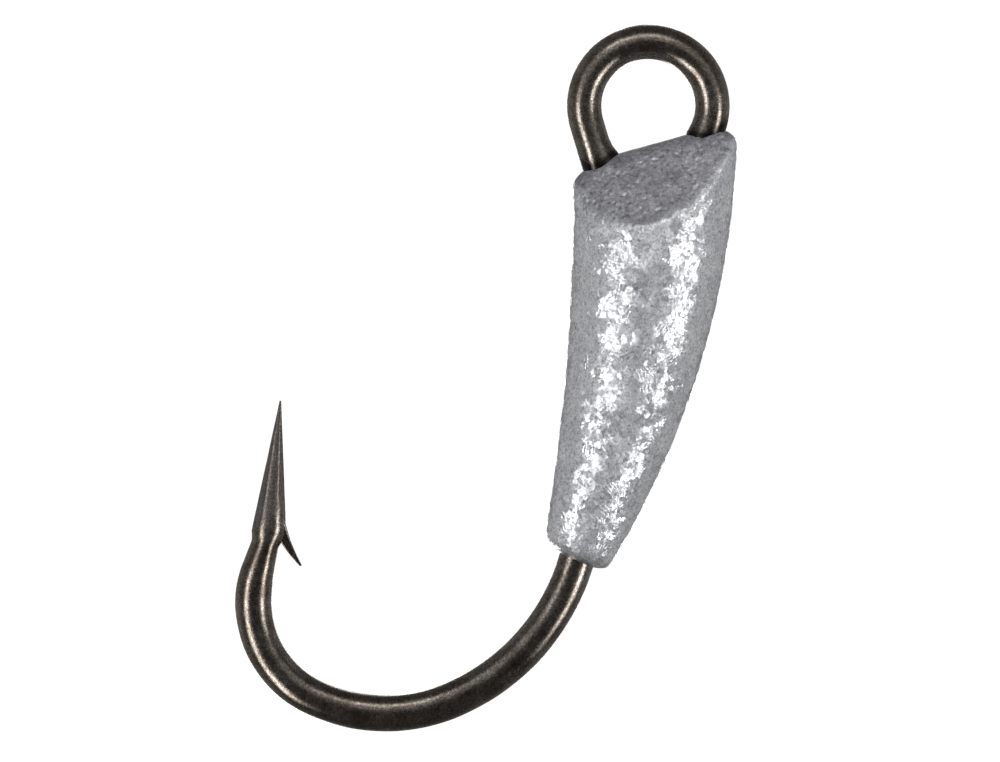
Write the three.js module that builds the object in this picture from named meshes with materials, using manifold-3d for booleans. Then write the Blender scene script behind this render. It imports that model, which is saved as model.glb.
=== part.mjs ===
// A jig head: one bent and forged wire hook with a slug of lead cast round its shank.
//
// Millimetres, +Z up. The origin is the centre of the ring eye, the wire lies in the XZ plane,
// and the point of the hook is on the -X side. A heading is an angle in that plane, in degrees:
// 0 travels straight down, 90 towards -X, 180 straight up and 270 towards +X.

import * as THREE from 'three';
import { mergeVertices } from 'three/addons/utils/BufferGeometryUtils.js';
import Module from 'manifold-3d';

const wasm = await Module();
wasm.setup();

// ---- the wire's route, from its cut end in the lead, round the eye, to the tip of the point ----
const EYE_RADIUS = 5.58;
const TAG_HEADING = 163;
const TAG_LENGTH = 10.5;
const SHANK_HEADING = 17;
const SHANK_LENGTH = 39.9;
const BENDS = [
  { radius: 18.9, turn: 50 },
  { radius: 14.9, turn: 47 },
  { radius: 9.2, turn: 84 },
];
const THROAT_LENGTH = 2.2;
const SPEAR_BEND = { radius: 5, turn: -13 };
const SPEAR_LENGTH = 11.5;

// ---- the wire's section: half width in the hook's plane, half thickness across it,
// and the power of the superellipse that it follows, 2 being an ellipse ----
const ROUND_WIRE = { width: 1.5, thickness: 1.5, power: 2 };
const FORGED_BEND = { width: 1.58, thickness: 1.38, power: 2 };
const THROAT = { width: 1.36, thickness: 1.3, power: 2 };
const SPEAR_SHOULDER = { width: 1.53, thickness: 1.25, power: 1.8 };
const SPEAR_TIP = { width: 0.1, thickness: 0.1, power: 1.6 };
const FORGING_RUN = 6;
const THROAT_RUN = 4;

// ---- the barb, a sliver raised from the inner side of the spear ----
const BARB_ROOT = new THREE.Vector3(-31.95, 0, -37.3);
const BARB_TIP = new THREE.Vector3(-30.25, 0, -40.05);
const BARB_ROOT_SECTION = { width: 0.62, thickness: 0.95, power: 2 };
const BARB_TIP_SECTION = { width: 0.09, thickness: 0.12, power: 2 };

// ---- the lead: its two side outlines, its roof-shaped nose and its lower end ----
const POINT_SIDE = [[-6.6, -2], [-6.15, -20], [-9, -37.3]];
const BACK_SIDE = [[7.78, -2], [7.3, -22.8], [-3.5, -40.3]];
const LEAD_THICKNESS_RATIO = 0.88;
const RIDGE_CENTRE = new THREE.Vector3(0.35, 0, -3.3);
const RIDGE_TILT = 15.5;
const RIDGE_ROUND = 2.2;
const POINT_SHOULDER = { side: -1, start: 4.03, arcs: [{ radius: 5.1, turn: 42 }, { radius: 0.9, turn: 25 }] };
const BACK_SHOULDER = { side: 1, start: 5, arcs: [{ radius: 2.3, turn: 78 }] };
const BEVEL_ANGLE = 55;
const END_FACE_SCALE = 0.8;
const END_FACE_DEPTH = 0.45;
const CAST_GAP = 0.3;

// ---- how finely curves are cut up ----
const WIRE_SIDES = 24;
const LEAD_SIDES = 56;
const LEAD_STEPS = 22;
const DEGREES_PER_STEP = 6;
const ROUNDING_STEPS = 4;

const { degToRad, lerp, mapLinear } = THREE.MathUtils;
const ACROSS = new THREE.Vector3(0, 1, 0);

/** Unit direction of travel for a heading. */
function direction(heading) {
  const angle = degToRad(heading);
  return new THREE.Vector3(-Math.sin(angle), 0, -Math.cos(angle));
}

/** Unit direction to the right of travel, where the centre of a clockwise bend lies. */
function rightOf(heading) {
  return direction(heading + 90);
}

// ---- solids ----

/**
 * One closed body through a list of rings with the same number of points. Each ring turns
 * anticlockwise as seen from the far end of the travel, and its ends are closed from their centres.
 */
function loft(rings) {
  const sides = rings[0].length;
  const points = rings.flat();
  const faces = [];
  for (let ring = 0; ring < rings.length - 1; ring++) {
    for (let side = 0; side < sides; side++) {
      const next = (side + 1) % sides;
      const near = ring * sides;
      const far = near + sides;
      faces.push(near + side, near + next, far + next);
      faces.push(near + side, far + next, far + side);
    }
  }
  const lastRing = (rings.length - 1) * sides;
  const startCentre = points.push(middle(rings[0])) - 1;
  const endCentre = points.push(middle(rings.at(-1))) - 1;
  for (let side = 0; side < sides; side++) {
    const next = (side + 1) % sides;
    faces.push(startCentre, next, side);
    faces.push(endCentre, lastRing + side, lastRing + next);
  }
  const geometry = new THREE.BufferGeometry().setFromPoints(points);
  geometry.setIndex(faces);
  return geometry;
}

function middle(ring) {
  const sum = new THREE.Vector3();
  for (const point of ring) {
    sum.add(point);
  }
  return sum.divideScalar(ring.length);
}

/** A ring of points on a superellipse: `reach` is its half axis in the hook's plane. */
function sectionRing(centre, reach, thickness, power, sides) {
  const ring = [];
  for (let side = 0; side < sides; side++) {
    const angle = (2 * Math.PI * side) / sides;
    const along = superellipse(Math.cos(angle), power);
    const across = superellipse(Math.sin(angle), power);
    ring.push(centre.clone().addScaledVector(reach, along).addScaledVector(ACROSS, across * thickness));
  }
  return ring;
}

function superellipse(value, power) {
  return Math.sign(value) * Math.abs(value) ** (2 / power);
}

function toSolid(geometry) {
  const bare = geometry.clone();
  bare.deleteAttribute('normal');
  bare.deleteAttribute('uv');
  const merged = mergeVertices(bare);
  const vertProperties = new Float32Array(merged.attributes.position.array);
  const triVerts = new Uint32Array(merged.index.array);
  return new wasm.Manifold(new wasm.Mesh({ numProp: 3, vertProperties, triVerts }));
}

function toGeometry(solid) {
  const { vertProperties, triVerts } = solid.getMesh();
  const geometry = new THREE.BufferGeometry();
  geometry.setAttribute('position', new THREE.BufferAttribute(vertProperties, 3));
  geometry.setIndex(new THREE.BufferAttribute(triVerts, 1));
  geometry.computeVertexNormals();
  return geometry;
}

// ---- the wire ----

/** The stations of the wire and the distances at which its section changes. */
function wireRoute(tagLength) {
  const touch = rightOf(TAG_HEADING).multiplyScalar(-EYE_RADIUS);
  let place = touch.addScaledVector(direction(TAG_HEADING), -tagLength);
  let heading = TAG_HEADING;
  let walked = 0;
  const stations = [{ place: place.clone(), heading, walked }];

  function straight(length, steps) {
    for (let step = 0; step < steps; step++) {
      place.addScaledVector(direction(heading), length / steps);
      walked += length / steps;
      stations.push({ place: place.clone(), heading, walked });
    }
  }

  function bend(radius, turn) {
    const steps = Math.ceil(Math.abs(turn) / DEGREES_PER_STEP);
    const signedRadius = radius * Math.sign(turn);
    const centre = place.clone().addScaledVector(rightOf(heading), signedRadius);
    for (let step = 0; step < steps; step++) {
      heading += turn / steps;
      place = centre.clone().addScaledVector(rightOf(heading), -signedRadius);
      walked += degToRad(Math.abs(turn) / steps) * radius;
      stations.push({ place: place.clone(), heading, walked });
    }
  }

  const FULL_TURN = 360;
  straight(tagLength, 3);
  bend(EYE_RADIUS, FULL_TURN + SHANK_HEADING - TAG_HEADING);
  straight(SHANK_LENGTH, 8);
  const bendStart = walked;
  for (const { radius, turn } of BENDS) {
    bend(radius, turn);
  }
  straight(THROAT_LENGTH, 2);
  const throat = walked;
  bend(SPEAR_BEND.radius, SPEAR_BEND.turn);
  const shoulder = walked;
  straight(SPEAR_LENGTH, 8);

  const sections = [
    { at: 0, ...ROUND_WIRE },
    { at: bendStart - FORGING_RUN, ...ROUND_WIRE },
    { at: bendStart, ...FORGED_BEND },
    { at: throat - THROAT_RUN, ...FORGED_BEND },
    { at: throat, ...THROAT },
    { at: shoulder, ...SPEAR_SHOULDER },
    { at: walked, ...SPEAR_TIP },
  ];
  return { stations, sections };
}

/** The section at a distance along the wire, between the two named sections around it. */
function sectionAt(sections, walked) {
  const after = Math.max(1, sections.findIndex((section) => section.at >= walked - 1e-6));
  const from = sections[after - 1];
  const to = sections[after];
  const share = mapLinear(walked, from.at, to.at, 0, 1);
  return {
    width: lerp(from.width, to.width, share),
    thickness: lerp(from.thickness, to.thickness, share),
    power: lerp(from.power, to.power, share),
  };
}

/** The wire as one body, or the room it takes in the lead when it is grown by a gap. */
function wireBody(gap) {
  const { stations, sections } = wireRoute(TAG_LENGTH + gap);
  const rings = stations.map(({ place, heading, walked }) => {
    const { width, thickness, power } = sectionAt(sections, walked);
    const reach = rightOf(heading).multiplyScalar(width + gap);
    return sectionRing(place, reach, thickness + gap, power, WIRE_SIDES);
  });
  return toSolid(loft(rings));
}

function barbBody() {
  const along = BARB_TIP.clone().sub(BARB_ROOT).normalize();
  const right = new THREE.Vector3(along.z, 0, -along.x);
  const ends = [[BARB_ROOT, BARB_ROOT_SECTION], [BARB_TIP, BARB_TIP_SECTION]];
  const rings = ends.map(([place, { width, thickness, power }]) => (
    sectionRing(place, right.clone().multiplyScalar(width), thickness, power, WIRE_SIDES)
  ));
  return toSolid(loft(rings));
}

function hookGeometry() {
  return toGeometry(wireBody(0).add(barbBody()));
}

// ---- the lead ----

/** A smooth side outline through the hook's plane, from three points [x, z]. */
function outline(points) {
  return new THREE.QuadraticBezierCurve3(...points.map(([x, z]) => new THREE.Vector3(x, 0, z)));
}

/** The tapering slug between the two side outlines, with a rounded rim round its flat lower end. */
function slugBody() {
  const pointSide = outline(POINT_SIDE);
  const backSide = outline(BACK_SIDE);

  function slugRing(share, scale, lift) {
    const start = pointSide.getPoint(share);
    const reach = start.clone().sub(backSide.getPoint(share)).multiplyScalar(0.5);
    const outward = new THREE.Vector3().crossVectors(reach, ACROSS).normalize();
    const centre = start.sub(reach).addScaledVector(outward, lift);
    const thickness = reach.length() * LEAD_THICKNESS_RATIO * scale;
    return sectionRing(centre, reach.multiplyScalar(scale), thickness, 2, LEAD_SIDES);
  }

  const rings = [];
  for (let step = 0; step <= LEAD_STEPS; step++) {
    rings.push(slugRing(step / LEAD_STEPS, 1, 0));
  }
  for (let step = 1; step <= ROUNDING_STEPS; step++) {
    const angle = (Math.PI / 2) * (step / ROUNDING_STEPS);
    const scale = lerp(END_FACE_SCALE, 1, Math.cos(angle));
    rings.push(slugRing(1, scale, END_FACE_DEPTH * Math.sin(angle)));
  }
  return toSolid(loft(rings));
}

/**
 * Places [along, drop] from where the ridge starts to drop, down its arcs and out past the slug's
 * side, and then level, to clear the rest of the slug.
 */
function shoulder({ side, start, arcs }) {
  const PAST_THE_SIDE = 3;
  const FAR = 25;
  const places = [[side * start, 0]];
  let along = start;
  let drop = 0;
  let slope = 0;
  for (const { radius, turn } of arcs) {
    for (let step = 0; step < ROUNDING_STEPS; step++) {
      const next = slope + degToRad(turn) / ROUNDING_STEPS;
      along += radius * (Math.sin(next) - Math.sin(slope));
      drop += radius * (Math.cos(slope) - Math.cos(next));
      slope = next;
      places.push([side * along, drop]);
    }
  }
  along += PAST_THE_SIDE * Math.cos(slope);
  drop += PAST_THE_SIDE * Math.sin(slope);
  places.push([side * along, drop], [side * FAR, drop]);
  return places;
}

/** Everything below the nose's two bevels, whose ridge drops in a round shoulder at each end. */
function roofBody() {
  const WIDE = 10;
  const DEEP = 50;
  const slope = degToRad(BEVEL_ANGLE);
  const ridge = new THREE.Vector3(1, 0, 0).applyAxisAngle(ACROSS, -degToRad(RIDGE_TILT));
  const up = new THREE.Vector3(0, 0, 1).applyAxisAngle(ACROSS, -degToRad(RIDGE_TILT));
  const eaves = -RIDGE_ROUND + RIDGE_ROUND / Math.cos(slope) - WIDE * Math.tan(slope);

  const profile = new THREE.Shape();
  profile.moveTo(-WIDE, -DEEP);
  profile.lineTo(WIDE, -DEEP);
  profile.lineTo(WIDE, eaves);
  profile.absarc(0, -RIDGE_ROUND, RIDGE_ROUND, Math.PI / 2 - slope, Math.PI / 2 + slope);
  profile.lineTo(-WIDE, eaves);
  const corners = profile.getPoints(ROUNDING_STEPS);

  function roofRing(along, drop) {
    return corners.map(({ x, y }) => (
      RIDGE_CENTRE.clone()
        .addScaledVector(ridge, along)
        .addScaledVector(ACROSS, x)
        .addScaledVector(up, y - drop)
    ));
  }

  const places = [...shoulder(POINT_SHOULDER).reverse(), ...shoulder(BACK_SHOULDER)];
  return toSolid(loft(places.map(([along, drop]) => roofRing(along, drop))));
}

function leadGeometry() {
  return toGeometry(slugBody().intersect(roofBody()).subtract(wireBody(CAST_GAP)));
}

// ---- the assembly ----

function part(name, geometry, color, roughness, metalness) {
  const mesh = new THREE.Mesh(geometry, new THREE.MeshStandardMaterial({ color, roughness, metalness }));
  mesh.name = name;
  return mesh;
}

const jigHead = new THREE.Group();
jigHead.add(
  part('hook', hookGeometry(), 0x3a322d, 0.3, 0.95),
  part('lead_head', leadGeometry(), 0x8d8f96, 0.5, 0.85),
);

export default jigHead;
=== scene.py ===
"""Looks for the jig head: a black nickel wire hook with a crystalline lead slug cast round its shank.

Shapes are made in millimetres in the CAD's own frame, whose origin is the centre of the ring eye, and then
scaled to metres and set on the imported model. A heading is an angle in the hook's plane, in degrees: 0 travels
straight down, 90 towards -X, 180 straight up and 270 towards +X.
"""

import math
import random

import bpy
import numpy as np
from mathutils import Matrix, Quaternion, Vector, noise


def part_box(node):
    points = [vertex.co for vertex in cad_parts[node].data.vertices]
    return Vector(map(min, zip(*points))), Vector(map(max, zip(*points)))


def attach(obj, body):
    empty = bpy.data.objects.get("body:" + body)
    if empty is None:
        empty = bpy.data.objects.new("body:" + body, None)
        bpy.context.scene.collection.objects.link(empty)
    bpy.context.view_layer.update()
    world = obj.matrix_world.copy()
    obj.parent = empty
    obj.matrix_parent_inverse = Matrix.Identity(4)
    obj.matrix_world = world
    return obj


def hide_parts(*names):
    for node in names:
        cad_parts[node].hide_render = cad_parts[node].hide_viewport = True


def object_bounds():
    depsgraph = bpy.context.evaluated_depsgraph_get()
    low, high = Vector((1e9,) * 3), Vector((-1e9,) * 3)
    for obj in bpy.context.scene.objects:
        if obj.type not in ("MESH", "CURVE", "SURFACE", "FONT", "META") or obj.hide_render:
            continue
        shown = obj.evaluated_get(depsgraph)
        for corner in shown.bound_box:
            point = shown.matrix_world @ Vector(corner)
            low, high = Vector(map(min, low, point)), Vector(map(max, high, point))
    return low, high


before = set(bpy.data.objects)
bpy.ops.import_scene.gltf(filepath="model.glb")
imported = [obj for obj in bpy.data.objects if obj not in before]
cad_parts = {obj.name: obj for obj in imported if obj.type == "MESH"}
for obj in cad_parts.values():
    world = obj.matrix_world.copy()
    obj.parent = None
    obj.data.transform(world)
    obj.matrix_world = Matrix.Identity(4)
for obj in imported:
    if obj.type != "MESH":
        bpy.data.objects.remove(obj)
cad_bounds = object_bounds()

MM = 0.001
SEED = 11
rng = random.Random(SEED)

# ---- the wire's route, as in the CAD ----
EYE_RADIUS = 5.58
TAG_HEADING = 163
TAG_LENGTH = 10.5
SHANK_HEADING = 17
SHANK_LENGTH = 39.9
BENDS = [(18.9, 50), (14.9, 47), (9.2, 84)]  # radius, turn
THROAT_LENGTH = 2.2
SPEAR_BEND = (5, -13)
SPEAR_LENGTH = 11.5

# ---- the wire's section: half width in the hook's plane, half thickness across it ----
ROUND_WIRE = (1.5, 1.5)
FORGED_BEND = (1.58, 1.38)
THROAT = (1.36, 1.3)
SPEAR_SHOULDER = (1.53, 1.25)
SPEAR_TIP = (0.07, 0.07)
FORGING_RUN = 6
THROAT_RUN = 4

# ---- the ground faces of the spear ----
FACE_DEPTH = 2.1  # how far in front of the wire the edge between two faces would lie, in half thicknesses
FACE_ROOM = 1.12  # how much wider than the wire its round front is here, so that the faces end in an edge
FACE_CORNER = 18  # how hard the corners between faces are
OUTER_FACE_START = -0.35  # from the shoulder, at the silhouette
INNER_FACE_START = 1.9
FACE_START_SLANT = 1.35  # how much later a face starts at the front of the wire than at its side
FACE_START_FADE = 0.45

# ---- the rougher finish of the ground spear: where it starts, past the shoulder, and how it slants ----
GROUND_START = 1.35
GROUND_SLANT = 1.06
GROUND_REACH = 4  # how far to each side of the spear the finish goes, so that the eye keeps its own

# ---- the barb: its outer and inner edges in the hook's plane, and its half thickness at root and tip ----
BARB_OUTER = [(-31.75, -34.9), (-31.55, -37.3), (-30.12, -39.98)]
BARB_INNER = [(-32.7, -36.6), (-31.95, -38.35), (-30.3, -40.04)]
BARB_THICKNESS = (0.62, 0.16)
BARB_SQUARENESS = 0.35  # the power that turns a circle into the barb's boxy section
BARB_CUT = [(-4.6, 0), (-1, 0.27), (0.5, 0)]  # distance from the shoulder, and how deep the cut is there

# ---- the collar in the corner between each leg of the eye and the lead's ridge, darkened with painted shade ----
COLLAR = [(-0.35, 0), (-0.1, 0.5), (0.3, 0.28), (0.8, 0.1), (1.5, 0)]  # height above the lead, thickness
COLLAR_SHADE_HEIGHTS = (-0.35, 0.2)  # heights between which the painted shade in that corner fades out
COLLAR_SHADE_DEPTH = 3  # how far down into the lead the painted shade goes on, so that the bend keeps its own

# ---- the lead ----
POINT_SIDE = [(-6.6, -2), (-6.15, -20), (-9, -37.3)]
BACK_SIDE = [(7.78, -2), (7.3, -22.8), (-3.5, -40.3)]
LEAD_THICKNESS_RATIO = 0.88
RIDGE_CENTRE = np.array([0.35, 0, -3.3])
RIDGE_TILT = 15.5
RIDGE_ROUND = 2.2
POINT_SHOULDER = (-1, 4.03, [(5.1, 42), (0.9, 25)])  # side, where the ridge starts to drop, (radius, turn)
BACK_SHOULDER = (1, 5, [(2.3, 78)])
BEVEL_ANGLE = 55
END_DOME = 0.9
WIRE_CLEARANCE = 0.1

# ---- the lead's skin ----
GRAIN_SIZE = 0.55
GRAIN_HEIGHT = 0.045
GRAIN_PLATEAU = 0.35  # where a grain stops rising, as the next grain's distance less its own
GRAIN_MEAN = 0.17
PIT_TRIES = 2600
PIT_CHANCE = (0.08, 0.5)  # on the flanks, and what a bevel adds
PIT_RADIUS = (0.09, 0.2)
PIT_DEPTH = (0.03, 0.09)
PIT_STRETCH = (0.8, 1.6)
CRYSTALS = [(1.2, 0.26, 0.25), (0.5, 0.23, 0.0), (0.22, 0.11, 0.0)]  # size, how far they lean, ribs
RIB_PITCH = 0.14

# ---- how finely things are cut up ----
WIRE_SIDES = 64
WIRE_STEP = 0.3
DEGREES_PER_STEP = 2
BARB_STEPS = 30
LEAD_SIDES = 144
LEAD_STEPS = 110
DOME_STEPS = 14
ROUNDING_STEPS = 10
LEAD_VOXEL = 0.145
LEAD_SMOOTHINGS = 26

ACROSS = np.array([0.0, 1.0, 0.0])

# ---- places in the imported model, in metres ----
lowest, highest = cad_bounds
centre = (lowest + highest) / 2
hook_low, hook_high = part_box("hook")
eye_reach = (EYE_RADIUS + ROUND_WIRE[0]) * MM
eye = Vector((hook_high.x - eye_reach, (hook_low.y + hook_high.y) / 2, hook_high.z - eye_reach))


def direction(heading):
    angle = math.radians(heading)
    return np.array([-math.sin(angle), 0.0, -math.cos(angle)])


def right_of(heading):
    return direction(heading + 90)


# ---- mesh helpers ----


def loft(rings):
    """Vertices and faces of one closed body through rings with the same number of points."""
    count, sides = len(rings), len(rings[0])
    points = np.concatenate(rings)
    side = np.arange(sides)
    following = (side + 1) % sides
    faces = []
    for ring in range(count - 1):
        near, far = ring * sides, (ring + 1) * sides
        quads = np.stack([near + side, near + following, far + following, far + side], 1)
        faces.extend(quads.tolist())
    start, end = len(points), len(points) + 1
    points = np.vstack([points, rings[0].mean(0), rings[-1].mean(0)])
    last = (count - 1) * sides
    faces.extend([start, b, a] for a, b in zip(side.tolist(), following.tolist()))
    faces.extend([end, last + a, last + b] for a, b in zip(side.tolist(), following.tolist()))
    return points, faces


def mesh_object(name, points, faces):
    mesh = bpy.data.meshes.new(name)
    mesh.from_pydata(points.tolist(), [], faces)
    mesh.update()
    made = bpy.data.objects.new(name, mesh)
    bpy.context.scene.collection.objects.link(made)
    return made


def apply_modifiers(obj):
    bpy.context.view_layer.update()
    graph = bpy.context.evaluated_depsgraph_get()
    mesh = bpy.data.meshes.new_from_object(obj.evaluated_get(graph), depsgraph=graph)
    obj.modifiers.clear()
    old = obj.data
    obj.data = mesh
    bpy.data.meshes.remove(old)


def combine(obj, other, operation):
    """An exact boolean with another object, which is used up."""
    modifier = obj.modifiers.new("combine", "BOOLEAN")
    modifier.operation = operation
    modifier.solver = "EXACT"
    modifier.object = other
    apply_modifiers(obj)
    mesh = other.data
    bpy.data.objects.remove(other)
    bpy.data.meshes.remove(mesh)


def vertex_array(mesh, what="co"):
    values = np.zeros(len(mesh.vertices) * 3)
    mesh.vertices.foreach_get(what, values)
    return values.reshape(-1, 3)


def set_vertices(mesh, points):
    mesh.vertices.foreach_set("co", points.ravel())
    mesh.update()


def smooth_vertices(mesh, times):
    """Moves each vertex halfway to the middle of its neighbours, a number of times."""
    edges = np.zeros(len(mesh.edges) * 2, int)
    mesh.edges.foreach_get("vertices", edges)
    a, b = edges.reshape(-1, 2).T
    count = len(mesh.vertices)
    share = 0.5 / np.bincount(np.concatenate([a, b]), minlength=count)
    points = vertex_array(mesh)
    for _ in range(times):
        moved = points * 0.5
        for axis in range(3):
            near = np.bincount(a, points[b, axis], count) + np.bincount(b, points[a, axis], count)
            moved[:, axis] += near * share
        points = moved
    set_vertices(mesh, points)


def finish_mesh(obj, place, sharp_angle, material):
    """Scales a millimetre mesh to metres, puts it in the frame, and shades it smooth up to an angle."""
    mesh = obj.data
    mesh.materials.clear()
    mesh.materials.append(material)
    mesh.transform(Matrix.Translation(place) @ Matrix.Scale(MM, 4))
    mesh.shade_smooth()
    mesh.set_sharp_from_angle(angle=math.radians(sharp_angle))
    mesh.update()


def smoothstep(value, low, high):
    share = np.clip((value - low) / (high - low), 0, 1)
    return share * share * (3 - 2 * share)


def bezier(points, share):
    (a, b, c) = (np.array([x, 0, z], float) for x, z in points)
    return a * (1 - share) ** 2 + 2 * b * share * (1 - share) + c * share**2


# ---- the hook ----


def wire_route():
    """Stations (place, heading, distance) along the wire, its sections and where the spear starts."""
    touch = -EYE_RADIUS * right_of(TAG_HEADING)
    state = {"place": touch - TAG_LENGTH * direction(TAG_HEADING), "heading": TAG_HEADING, "walked": 0.0}
    stations = [(state["place"], state["heading"], state["walked"])]

    def straight(length):
        steps = math.ceil(length / WIRE_STEP)
        for _ in range(steps):
            state["place"] = state["place"] + direction(state["heading"]) * length / steps
            state["walked"] += length / steps
            stations.append((state["place"], state["heading"], state["walked"]))

    def bend(radius, turn):
        steps = math.ceil(abs(turn) / DEGREES_PER_STEP)
        signed = math.copysign(radius, turn)
        centre = state["place"] + signed * right_of(state["heading"])
        for _ in range(steps):
            state["heading"] += turn / steps
            state["place"] = centre - signed * right_of(state["heading"])
            state["walked"] += math.radians(abs(turn) / steps) * radius
            stations.append((state["place"], state["heading"], state["walked"]))

    straight(TAG_LENGTH)
    bend(EYE_RADIUS, 360 + SHANK_HEADING - TAG_HEADING)
    straight(SHANK_LENGTH)
    bend_start = state["walked"]
    for radius, turn in BENDS:
        bend(radius, turn)
    straight(THROAT_LENGTH)
    throat = state["walked"]
    bend(*SPEAR_BEND)
    spear_start = state["walked"]
    straight(SPEAR_LENGTH)
    sections = [
        (0, ROUND_WIRE),
        (bend_start - FORGING_RUN, ROUND_WIRE),
        (bend_start, FORGED_BEND),
        (throat - THROAT_RUN, FORGED_BEND),
        (throat, THROAT),
        (spear_start, SPEAR_SHOULDER),
        (state["walked"], SPEAR_TIP),
    ]
    return stations, sections, spear_start


def wire_rings(grown):
    """Rings round the wire, `grown` outwards. The spear's faces and the barb's cut are taken off them."""
    stations, sections, spear_start = wire_route()
    knots = [at for at, _ in sections]
    angle = 2 * math.pi * np.arange(WIRE_SIDES) / WIRE_SIDES
    c, s = np.cos(angle), np.sin(angle)
    from_side = np.arccos(np.abs(c)) / (math.pi / 2)  # 0 at the silhouette, 1 at the front
    start = np.where(c < 0, OUTER_FACE_START, INNER_FACE_START) + FACE_START_SLANT * from_side
    rings = []
    for place, heading, walked in stations:
        width = np.interp(walked, knots, [section[0] for _, section in sections])
        thickness = np.interp(walked, knots, [section[1] for _, section in sections])
        whole = 1 / np.sqrt((c / width) ** 2 + (s / thickness) ** 2)
        roomy = 1 / np.sqrt((c / (FACE_ROOM * width)) ** 2 + (s / thickness) ** 2)
        faces = 1 / (np.abs(c) / width + np.abs(s) / (FACE_DEPTH * thickness))
        ground = (roomy**-FACE_CORNER + faces**-FACE_CORNER) ** (-1 / FACE_CORNER)
        amount = smoothstep(walked - spear_start - start, 0, FACE_START_FADE)
        cut = np.interp(walked - spear_start, *zip(*BARB_CUT)) * np.maximum(c, 0) ** 2
        radius = whole * (1 - amount) + ground * amount - cut + grown
        right = right_of(heading)
        rings.append(place + np.outer(c * radius, right) + np.outer(s * radius, ACROSS))
    return rings


def wobble(points, size, amount, offset):
    """Offsets for points on a nearly smooth metal surface: `size` is the length of the waves."""
    shift = Vector((offset, -offset, 2 * offset))
    waves = [noise.noise(Vector(p) / size + shift) for p in points]
    return amount * np.array(waves)


def boxy(value):
    return np.sign(value) * np.abs(value) ** BARB_SQUARENESS


def make_barb():
    rings = []
    sides = WIRE_SIDES // 2
    angle = 2 * math.pi * np.arange(sides) / sides
    c, s = boxy(np.cos(angle)), boxy(np.sin(angle))
    for step in range(BARB_STEPS + 1):
        share = step / BARB_STEPS
        outer, inner = bezier(BARB_OUTER, share), bezier(BARB_INNER, share)
        thickness = BARB_THICKNESS[0] * (1 - share) + BARB_THICKNESS[1] * share
        middle, reach = (outer + inner) / 2, (outer - inner) / 2
        rings.append(middle + np.outer(c, reach) + np.outer(s * thickness, ACROSS))
    return mesh_object("barb", *loft(rings))


def collar(points, normals):
    """How far the collar stands out from the two legs, on the side where each faces the other."""
    ridge, up = roof_axes()
    away = points - RIDGE_CENTRE
    along = away @ ridge
    crest = np.sqrt(np.maximum(RIDGE_ROUND**2 - away[:, 1] ** 2, 0))
    height = away @ up + RIDGE_ROUND - crest
    inward = np.maximum(-np.sign(along) * (normals @ ridge), 0)
    return np.interp(height, *zip(*COLLAR)) * inward**3


def make_hook():
    points, faces = loft(wire_rings(0))
    hook = mesh_object("wire_hook", points, faces)
    normals = vertex_array(hook.data, "normal")
    offset = wobble(points, size=2.6, amount=0.022, offset=3.1)
    offset += wobble(points, size=0.8, amount=0.006, offset=7.7)
    offset += collar(points, normals)
    set_vertices(hook.data, points + normals * offset[:, None])
    combine(hook, make_barb(), "UNION")
    return hook


# ---- the lead ----


def slug():
    """The lead's tapering body with a domed lower end, before the nose is cut."""

    def ring(share, scale, lift):
        start, back = bezier(POINT_SIDE, share), bezier(BACK_SIDE, share)
        reach = (start - back) / 2
        outward = np.cross(reach, ACROSS)
        centre = start - reach + outward / np.linalg.norm(outward) * lift
        thickness = np.linalg.norm(reach) * LEAD_THICKNESS_RATIO * scale
        angle = 2 * math.pi * np.arange(LEAD_SIDES) / LEAD_SIDES
        return centre + np.outer(np.cos(angle), reach * scale) + np.outer(np.sin(angle) * thickness, ACROSS)

    rings = [ring(step / LEAD_STEPS, 1, 0) for step in range(LEAD_STEPS + 1)]
    for step in range(1, DOME_STEPS):
        scale = 1 - step / DOME_STEPS
        rings.append(ring(1, scale, END_DOME * (1 - scale**2)))
    return mesh_object("slug", *loft(rings))


def roof_axes():
    """Along the nose's ridge, away from the point, and square to it, away from the lead."""
    tilt = math.radians(RIDGE_TILT)
    ridge = np.array([math.cos(tilt), 0, math.sin(tilt)])
    up = np.array([-math.sin(tilt), 0, math.cos(tilt)])
    return ridge, up


def shoulder(side, start, arcs):
    """Places (along, drop) down one end of the ridge: its arcs, out past the slug's side, then level."""
    past_the_side, far = 3, 25
    along, drop, slope = start, 0.0, 0.0
    places = [(side * along, drop)]
    for radius, turn in arcs:
        for _ in range(ROUNDING_STEPS):
            following = slope + math.radians(turn) / ROUNDING_STEPS
            along += radius * (math.sin(following) - math.sin(slope))
            drop += radius * (math.cos(slope) - math.cos(following))
            slope = following
            places.append((side * along, drop))
    along += past_the_side * math.cos(slope)
    drop += past_the_side * math.sin(slope)
    return places + [(side * along, drop), (side * far, drop)]


def roof():
    """Everything below the nose's two bevels, whose ridge drops in a round shoulder at each end."""
    wide, bottom = 10, -80
    slope = math.radians(BEVEL_ANGLE)
    ridge, up = roof_axes()
    eaves = -RIDGE_ROUND + RIDGE_ROUND / math.cos(slope) - wide * math.tan(slope)
    turns = [slope - 2 * slope * step / ROUNDING_STEPS for step in range(ROUNDING_STEPS + 1)]
    crest = [(math.sin(turn) * RIDGE_ROUND, (math.cos(turn) - 1) * RIDGE_ROUND) for turn in turns]
    top = [(wide, eaves), *crest, (-wide, eaves)]

    def ring(along, drop):
        base = RIDGE_CENTRE + along * ridge
        low = [base + ACROSS * x + up * bottom for x in (-wide, wide)]
        return np.array(low + [base + ACROSS * x + up * (y - drop) for x, y in top])

    places = shoulder(*POINT_SHOULDER)[::-1] + shoulder(*BACK_SHOULDER)
    return mesh_object("roof", *loft([ring(*place) for place in places]))


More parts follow.
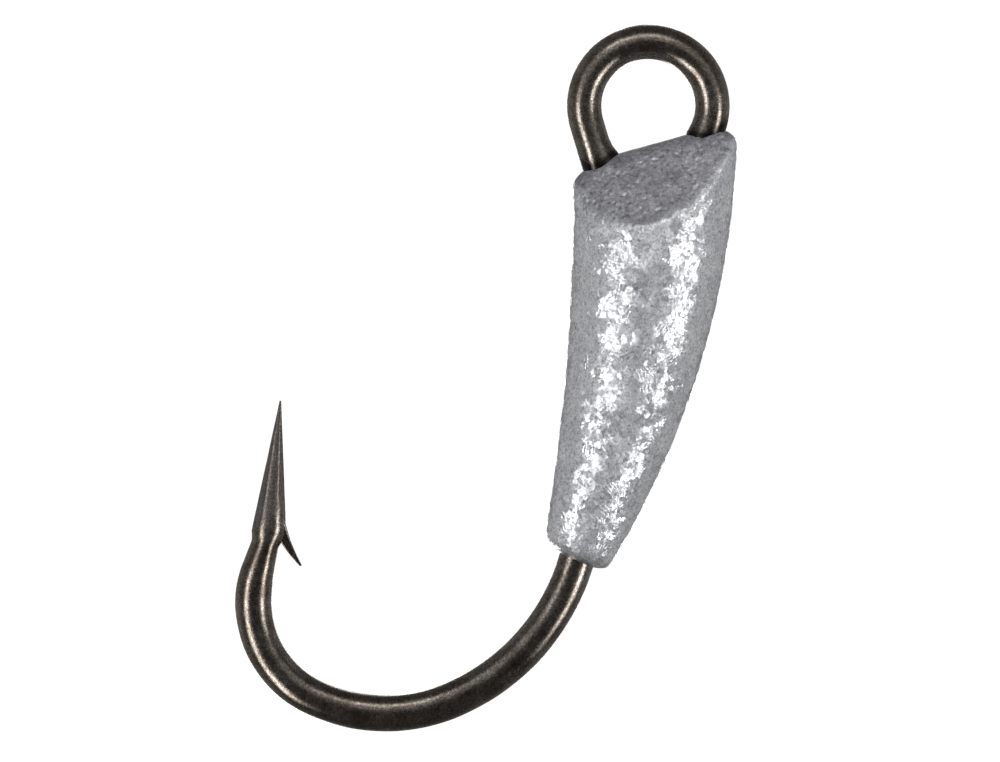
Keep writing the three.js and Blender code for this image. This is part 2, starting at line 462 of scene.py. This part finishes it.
def pit_field(points, pits):
    """How far in each point lies, from a list of pits (place, radius, depth, stretch)."""
    reach, steepness = 2, 2
    depth = np.zeros(len(points))
    for place, radius, deep, stretch in pits:
        apart = points - place
        apart[:, 2] /= stretch
        squared = (apart**2).sum(1) / radius**2
        close = squared < reach**2
        depth[close] = np.maximum(depth[close], deep * np.exp(-steepness * squared[close]))
    return depth


def roughen_lead(mesh):
    """Cast skin: slow waves, grains that stand out a little, and pits, most of them on the bevels."""
    points, normals = vertex_array(mesh), vertex_array(mesh, "normal")
    _, up = roof_axes()
    on_bevel = smoothstep(normals @ up, 0.45, 0.62)
    offset = wobble(points, size=3.2, amount=0.05, offset=1.3)
    offset += wobble(points, size=1.1, amount=0.02, offset=5.9)
    grains = np.zeros(len(points))
    for index, point in enumerate(points):
        warped = Vector(point) / GRAIN_SIZE
        warped += 0.6 * noise.noise_vector(warped * 0.8)
        near, _ = noise.voronoi(warped)
        grains[index] = min(near[1] - near[0], GRAIN_PLATEAU)
    offset += GRAIN_HEIGHT * (grains - GRAIN_MEAN) * (1 - 0.6 * on_bevel)
    pits = [
        (points[index], rng.uniform(*PIT_RADIUS), rng.uniform(*PIT_DEPTH), rng.uniform(*PIT_STRETCH))
        for index in rng.sample(range(len(points)), PIT_TRIES)
        if rng.random() < PIT_CHANCE[0] + PIT_CHANCE[1] * on_bevel[index]
    ]
    offset -= pit_field(points, pits)
    set_vertices(mesh, points + normals * offset[:, None])


def make_lead():
    """The slug under its roof, remeshed evenly so that its skin can be worked, with the wire's tunnel."""
    lead = slug()
    lead.name = lead.data.name = "cast_lead_head"
    combine(lead, roof(), "INTERSECT")
    remesh = lead.modifiers.new("voxels", "REMESH")
    remesh.mode = "VOXEL"
    remesh.voxel_size = LEAD_VOXEL
    apply_modifiers(lead)
    smooth_vertices(lead.data, LEAD_SMOOTHINGS)
    roughen_lead(lead.data)
    tunnel = mesh_object("tunnel", *loft(wire_rings(WIRE_CLEARANCE)))
    combine(lead, tunnel, "DIFFERENCE")
    return lead


# ---- materials ----


def add_node(tree, kind, inputs=None, **settings):
    """A new node. An input is linked when its value is a socket, and set otherwise."""
    made = tree.nodes.new(kind)
    for name, value in settings.items():
        setattr(made, name, value)
    for socket, value in (inputs or {}).items():
        if isinstance(value, bpy.types.NodeSocket):
            tree.links.new(value, made.inputs[socket])
        else:
            made.inputs[socket].default_value = value
    return made


def new_material(name):
    material = bpy.data.materials.new(name)
    material.use_nodes = True
    tree = material.node_tree
    shader = next(n for n in tree.nodes if n.type == "BSDF_PRINCIPLED")
    place = tree.nodes.new("ShaderNodeTexCoord").outputs["Object"]
    return material, tree, shader, place


def noise_node(tree, place, size_mm, detail=3, roughness=0.5, distortion=0.0):
    return add_node(
        tree,
        "ShaderNodeTexNoise",
        {
            "Vector": place,
            "Scale": 1 / (size_mm * MM),
            "Detail": detail,
            "Roughness": roughness,
            "Distortion": distortion,
        },
    )


def ramp(tree, factor, stops):
    """A colour ramp. A stop is its position and a colour or a grey."""
    made = add_node(tree, "ShaderNodeValToRGB", {"Fac": factor})
    elements = made.color_ramp.elements
    while len(elements) < len(stops):
        elements.new(0.5)
    for element, (position, color) in zip(elements, stops):
        element.position = position
        element.color = (*color, 1) if isinstance(color, tuple) else (color, color, color, 1)
    return made.outputs["Color"]


def maths(tree, operation, a, b=0.0, clamp=False):
    return add_node(tree, "ShaderNodeMath", {0: a, 1: b}, operation=operation, use_clamp=clamp).outputs[0]


def vector_maths(tree, operation, a, b):
    return add_node(tree, "ShaderNodeVectorMath", {0: a, 1: b}, operation=operation).outputs["Vector"]


def mix_color(tree, factor, a, b, blend="MIX"):
    made = add_node(tree, "ShaderNodeMix", {"Factor": factor}, data_type="RGBA", blend_type=blend)
    for socket, value in (("A", a), ("B", b)):
        target = next(i for i in made.inputs if i.name == socket and i.type == "RGBA")
        if isinstance(value, bpy.types.NodeSocket):
            tree.links.new(value, target)
        else:
            target.default_value = (*value, 1)
    return next(o for o in made.outputs if o.type == "RGBA")


def span(tree, value, low, high):
    """0 to 1 as the value goes from low to high."""
    inputs = {"Value": value, "From Min": low, "From Max": high}
    return add_node(tree, "ShaderNodeMapRange", inputs).outputs["Result"]


def dot(tree, a, b):
    return add_node(tree, "ShaderNodeVectorMath", {0: a, 1: b}, operation="DOT_PRODUCT").outputs["Value"]


def spear_mask(tree, place):
    """1 on the ground spear, whose lower edge runs up across the wire, and 0 on the plated wire."""
    stations, _, spear_start = wire_route()
    start, heading, _ = next(station for station in stations if station[2] >= spear_start - 1e-6)
    origin = Vector(start) * MM + eye
    away = vector_maths(tree, "SUBTRACT", place, tuple(origin))
    along = dot(tree, away, tuple(direction(heading) / MM))
    side = dot(tree, away, tuple(right_of(heading) / MM))
    uneven = noise_node(tree, place, 0.5, 2).outputs["Fac"]
    edge = maths(tree, "SUBTRACT", along, maths(tree, "MULTIPLY", side, GROUND_SLANT))
    edge = maths(tree, "ADD", edge, maths(tree, "MULTIPLY", uneven, 0.5))
    near = maths(tree, "LESS_THAN", maths(tree, "ABSOLUTE", side), GROUND_REACH)
    return maths(tree, "MULTIPLY", near, span(tree, edge, GROUND_START, GROUND_START + 0.35))


def collar_shade_mask(tree, place):
    """1 on the wire just above the nose, where painted shade darkens the corner against the lead, and 0
    elsewhere.
    """
    _, up = roof_axes()
    ridge = Vector(RIDGE_CENTRE) * MM + eye
    away = vector_maths(tree, "SUBTRACT", place, tuple(ridge))
    rise = dot(tree, away, tuple(up / MM))
    across = dot(tree, away, (0, 1 / MM, 0))
    crest = maths(tree, "SUBTRACT", RIDGE_ROUND**2, maths(tree, "MULTIPLY", across, across))
    sag = maths(tree, "SUBTRACT", RIDGE_ROUND, maths(tree, "SQRT", maths(tree, "MAXIMUM", crest, 0.01)))
    uneven = noise_node(tree, place, 0.6, 2).outputs["Fac"]
    height = maths(tree, "SUBTRACT", maths(tree, "ADD", rise, sag), uneven)
    low = maths(tree, "SUBTRACT", 1.0, span(tree, height, *COLLAR_SHADE_HEIGHTS))
    return maths(tree, "MULTIPLY", low, maths(tree, "GREATER_THAN", height, -COLLAR_SHADE_DEPTH))


def wire_material():
    material, tree, shader, place = new_material("black_nickel_wire")
    ground = spear_mask(tree, place)
    collar_shade = collar_shade_mask(tree, place)
    patches = noise_node(tree, place, 1.9, 5, 0.6).outputs["Fac"]
    stops = [(0.3, (0.17, 0.138, 0.112)), (0.55, (0.275, 0.24, 0.207)), (0.75, (0.375, 0.341, 0.305))]
    tone = ramp(tree, patches, stops)
    tone = mix_color(tree, ground, tone, (0.25, 0.222, 0.205))
    dust = noise_node(tree, place, 0.16, 2, 0.6).outputs["Fac"]
    grain = ramp(tree, dust, [(0.32, 0.45), (0.5, 0.85), (0.68, 1.45)])
    color = mix_color(tree, 1, tone, grain, "MULTIPLY")
    # painted shade: the wire turns near-black in the corner just above the lead's ridge
    color = mix_color(tree, collar_shade, color, (0.035, 0.03, 0.028))
    tree.links.new(color, shader.inputs["Base Color"])
    shader.inputs["Metallic"].default_value = 1
    worn = noise_node(tree, place, 0.7, 4, 0.6).outputs["Fac"]
    polish = ramp(tree, worn, [(0.3, 0.22), (0.7, 0.34)])
    filed = ramp(tree, worn, [(0.3, 0.34), (0.7, 0.46)])
    tree.links.new(mix_color(tree, ground, polish, filed), shader.inputs["Roughness"])
    fine = noise_node(tree, place, 0.11, 3, 0.6).outputs["Fac"]
    strength = maths(tree, "ADD", maths(tree, "MULTIPLY", ground, 0.25), 0.14)
    inputs = {"Height": fine, "Strength": strength, "Distance": 0.02 * MM}
    bump = add_node(tree, "ShaderNodeBump", inputs)
    tree.links.new(bump.outputs["Normal"], shader.inputs["Normal"])
    return material


def crystals(tree, place):
    """How far each spot of the skin leans, and how dull it is.

    A crystal is a flat with its own lean and its own polish. Some of the large ones are finely ribbed.
    """
    warp = noise_node(tree, place, 0.45, 3, 0.6).outputs["Color"]
    warped = vector_maths(tree, "ADD", place, vector_maths(tree, "MULTIPLY", warp, (0.42 * MM,) * 3))
    lean = dull = None
    for size_mm, tilt, ribs in CRYSTALS:
        scale = 1 / (size_mm * MM)
        cells = add_node(tree, "ShaderNodeTexVoronoi", {"Vector": warped, "Scale": scale})
        own = vector_maths(tree, "SUBTRACT", cells.outputs["Color"], (0.5, 0.5, 0.5))
        part = vector_maths(tree, "MULTIPLY", own, (tilt,) * 3)
        lean = part if lean is None else vector_maths(tree, "ADD", lean, part)
        own_polish = dot(tree, cells.outputs["Color"], (0, 0.5, 0))
        dull = own_polish if dull is None else maths(tree, "ADD", dull, own_polish)
        if ribs:
            phase = maths(tree, "MULTIPLY", dot(tree, warped, own), 2 * math.pi / (RIB_PITCH * MM))
            ribbed = span(tree, dot(tree, cells.outputs["Color"], (1, 0, 0)), 0.45, 0.6)
            height = maths(tree, "MULTIPLY", ribbed, ribs)
            comb = maths(tree, "MULTIPLY", maths(tree, "SINE", phase), height)
            rib = add_node(tree, "ShaderNodeVectorMath", {0: own, "Scale": comb}, operation="SCALE")
            lean = vector_maths(tree, "ADD", lean, rib.outputs["Vector"])
    return lean, maths(tree, "DIVIDE", dull, len(CRYSTALS) / 2)


def lead_material():
    material, tree, shader, place = new_material("cast_lead_skin")
    _, up = roof_axes()
    facing = add_node(tree, "ShaderNodeTexCoord").outputs["Normal"]
    ragged = noise_node(tree, place, 0.8, 4, 0.65).outputs["Fac"]
    rise = maths(tree, "ADD", dot(tree, facing, tuple(up)), maths(tree, "MULTIPLY", ragged, 0.5))
    bevel = span(tree, rise, 0.53, 0.85)

    patches = noise_node(tree, place, 2.4, 5, 0.6).outputs["Fac"]
    tone = ramp(tree, patches, [(0.3, (0.75, 0.76, 0.81)), (0.7, (0.93, 0.935, 0.965))])
    # painted shade: the bevels face up and get a much darker tone; their rougher, uncoated, pitted skin is
    # their own
    bevel_painted_shade = ramp(tree, patches, [(0.35, (0.33, 0.33, 0.365)), (0.65, (0.46, 0.46, 0.5))])
    tone = mix_color(tree, bevel, tone, bevel_painted_shade)
    dust = noise_node(tree, place, 0.17, 3, 0.7).outputs["Fac"]
    specks = ramp(tree, dust, [(0.3, 0.5), (0.42, 0.88), (0.6, 1.05), (0.7, 1.35)])
    grit = noise_node(tree, place, 0.34, 4, 0.75).outputs["Fac"]
    mottle = ramp(tree, grit, [(0.34, 0.55), (0.46, 0.9), (0.56, 1.02), (0.68, 1.2)])
    specks = mix_color(tree, 1, specks, mottle, "MULTIPLY")
    bevel_specks = ramp(tree, grit, [(0.34, 0.35), (0.45, 0.88), (0.57, 1.05), (0.68, 1.7)])
    specks = mix_color(tree, bevel, specks, bevel_specks)
    color = mix_color(tree, 1, tone, specks, "MULTIPLY")
    tree.links.new(color, shader.inputs["Base Color"])
    shader.inputs["Metallic"].default_value = 0.6
    lean, dull = crystals(tree, place)
    flank = ramp(tree, dull, [(0.3, 0.3), (0.5, 0.46), (0.7, 0.64)])
    tree.links.new(mix_color(tree, bevel, flank, (0.6, 0.6, 0.6)), shader.inputs["Roughness"])

    shader.inputs["Coat IOR"].default_value = 1.85
    shader.inputs["Coat Roughness"].default_value = 0.13
    tree.links.new(maths(tree, "SUBTRACT", 1.0, bevel, clamp=True), shader.inputs["Coat Weight"])

    calm = maths(tree, "SUBTRACT", 1.0, maths(tree, "MULTIPLY", bevel, 0.4))
    inputs = {0: lean, "Scale": calm}
    lean = add_node(tree, "ShaderNodeVectorMath", inputs, operation="SCALE").outputs["Vector"]
    normal = tree.nodes.new("ShaderNodeNewGeometry").outputs["Normal"]
    leaning = vector_maths(tree, "ADD", normal, lean)
    leaning = add_node(tree, "ShaderNodeVectorMath", {0: leaning}, operation="NORMALIZE").outputs["Vector"]
    fine = noise_node(tree, place, 0.16, 4, 0.65).outputs["Fac"]
    strength = maths(tree, "ADD", maths(tree, "MULTIPLY", bevel, 0.5), 0.25)
    inputs = {"Height": fine, "Strength": strength, "Distance": 0.05 * MM, "Normal": leaning}
    bump = add_node(tree, "ShaderNodeBump", inputs)
    tree.links.new(bump.outputs["Normal"], shader.inputs["Normal"])
    tree.links.new(bump.outputs["Normal"], shader.inputs["Coat Normal"])
    return material


# ---- the studio ----


def softbox(name, azimuth, elevation, width, height, power, roll=0.0, distance=0.45, mirrored=True):
    """An area light, placed and measured in degrees as seen from the object, and facing it.

    Azimuth 0 is at the camera and grows to its right. A light that isn't mirrored adds only diffuse light.
    """
    data = bpy.data.lights.new(name, "AREA")
    data.shape = "RECTANGLE"
    data.size = 2 * distance * math.tan(math.radians(width / 2))
    data.size_y = 2 * distance * math.tan(math.radians(height / 2))
    data.energy = power
    light = bpy.data.objects.new(name, data)
    a, e = math.radians(azimuth), math.radians(elevation)
    away = Vector((math.sin(a) * math.cos(e), -math.cos(a) * math.cos(e), math.sin(e)))
    light.rotation_mode = "QUATERNION"
    turned = (-away).to_track_quat("-Z", "Y") @ Quaternion((0, 0, 1), math.radians(roll))
    light.rotation_quaternion = turned
    light.location = centre + away * distance
    light.visible_camera = False
    light.visible_glossy = mirrored
    bpy.context.scene.collection.objects.link(light)


def make_world():
    """A white backdrop for the camera, and a dim grey room, lighter beside and behind, for reflections."""
    world = bpy.data.worlds.new("studio")
    world.use_nodes = True
    bpy.context.scene.world = world
    tree = world.node_tree
    tree.nodes.clear()
    toward = add_node(tree, "ShaderNodeTexCoord").outputs["Generated"]
    sides = add_node(tree, "ShaderNodeSeparateXYZ", {0: toward}).outputs
    back = add_node(tree, "ShaderNodeMapRange", {"Value": sides["Y"], "From Min": -1, "From Max": 1})
    stops = [(0.0, 0.055), (0.3, 0.09), (0.55, 0.33), (0.88, 0.37), (0.97, 0.1)]  # from front to back
    room = ramp(tree, back.outputs["Result"], stops)
    steep = maths(tree, "MULTIPLY", sides["Z"], sides["Z"])
    room = mix_color(tree, steep, room, (0.07, 0.07, 0.07))
    seen = add_node(tree, "ShaderNodeLightPath").outputs["Is Camera Ray"]
    color = mix_color(tree, seen, room, (1.05, 1.05, 1.05))
    shader = add_node(tree, "ShaderNodeBackground", {"Color": color})
    output = tree.nodes.new("ShaderNodeOutputWorld")
    tree.links.new(shader.outputs["Background"], output.inputs["Surface"])


def make_floor(low):
    """A pale, evenly lit sheet below the hook, which throws nothing back at it."""
    half, drop, cuts = 0.7, 0.03, 8
    side = np.linspace(-half, half, cuts + 1)
    points = np.array([[centre.x + x, centre.y + y, low - drop] for y in side for x in side])
    faces = []
    for row in range(cuts):
        for column in range(cuts):
            first = row * (cuts + 1) + column
            faces.append([first, first + 1, first + cuts + 2, first + cuts + 1])
    floor = mesh_object("floor", points, faces)
    material, tree, shader, _ = new_material("pale_floor")
    shader.inputs["Base Color"].default_value = (0.9, 0.9, 0.9, 1)
    shader.inputs["Roughness"].default_value = 0.8
    shader.inputs["Emission Color"].default_value = (1, 1, 1, 1)
    shader.inputs["Emission Strength"].default_value = 0.92
    floor.data.materials.append(material)
    floor.visible_glossy = False
    floor.visible_diffuse = False


def make_camera():
    """The photo looks straight at the hook's plane, from a long way off."""
    width, lens, sensor = 87 * MM, 200, 36
    framing = Vector((1.2, 0, -0.26)) * MM
    data = bpy.data.cameras.new("camera")
    data.lens, data.sensor_width = lens, sensor
    data.clip_start, data.clip_end = 0.01, 10
    camera = bpy.data.objects.new("camera", data)
    camera.location = centre + framing + Vector((0, -width * lens / sensor, 0))
    camera.rotation_euler = (math.pi / 2, 0, 0)
    bpy.context.scene.collection.objects.link(camera)
    bpy.context.scene.camera = camera


# ---- the two pieces ----

lead = make_lead()
finish_mesh(lead, eye, sharp_angle=60, material=lead_material())
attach(lead, "root")
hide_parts("lead_head")

hook = make_hook()
finish_mesh(hook, eye, sharp_angle=40, material=wire_material())
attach(hook, "root")
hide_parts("hook")

# ---- the stage ----

make_camera()
make_floor(lowest.z)
make_world()
softbox("left", -44, -20, 15, 58, 1.35, roll=-10)
softbox("right", 53, -13, 14, 40, 0.85, roll=6)
softbox("top", -3, 43, 34, 12, 0.2)
softbox("ceiling", 0, 30, 95, 34, 0.32)
softbox("back_left", 189, 0, 8, 60, 0.5, roll=8)
softbox("back_right", 170, 8, 8, 50, 0.35, roll=-8)
softbox("fill", 0, 5, 100, 70, 1.9, mirrored=False)
bpy.context.scene.view_settings.view_transform = "Standard"
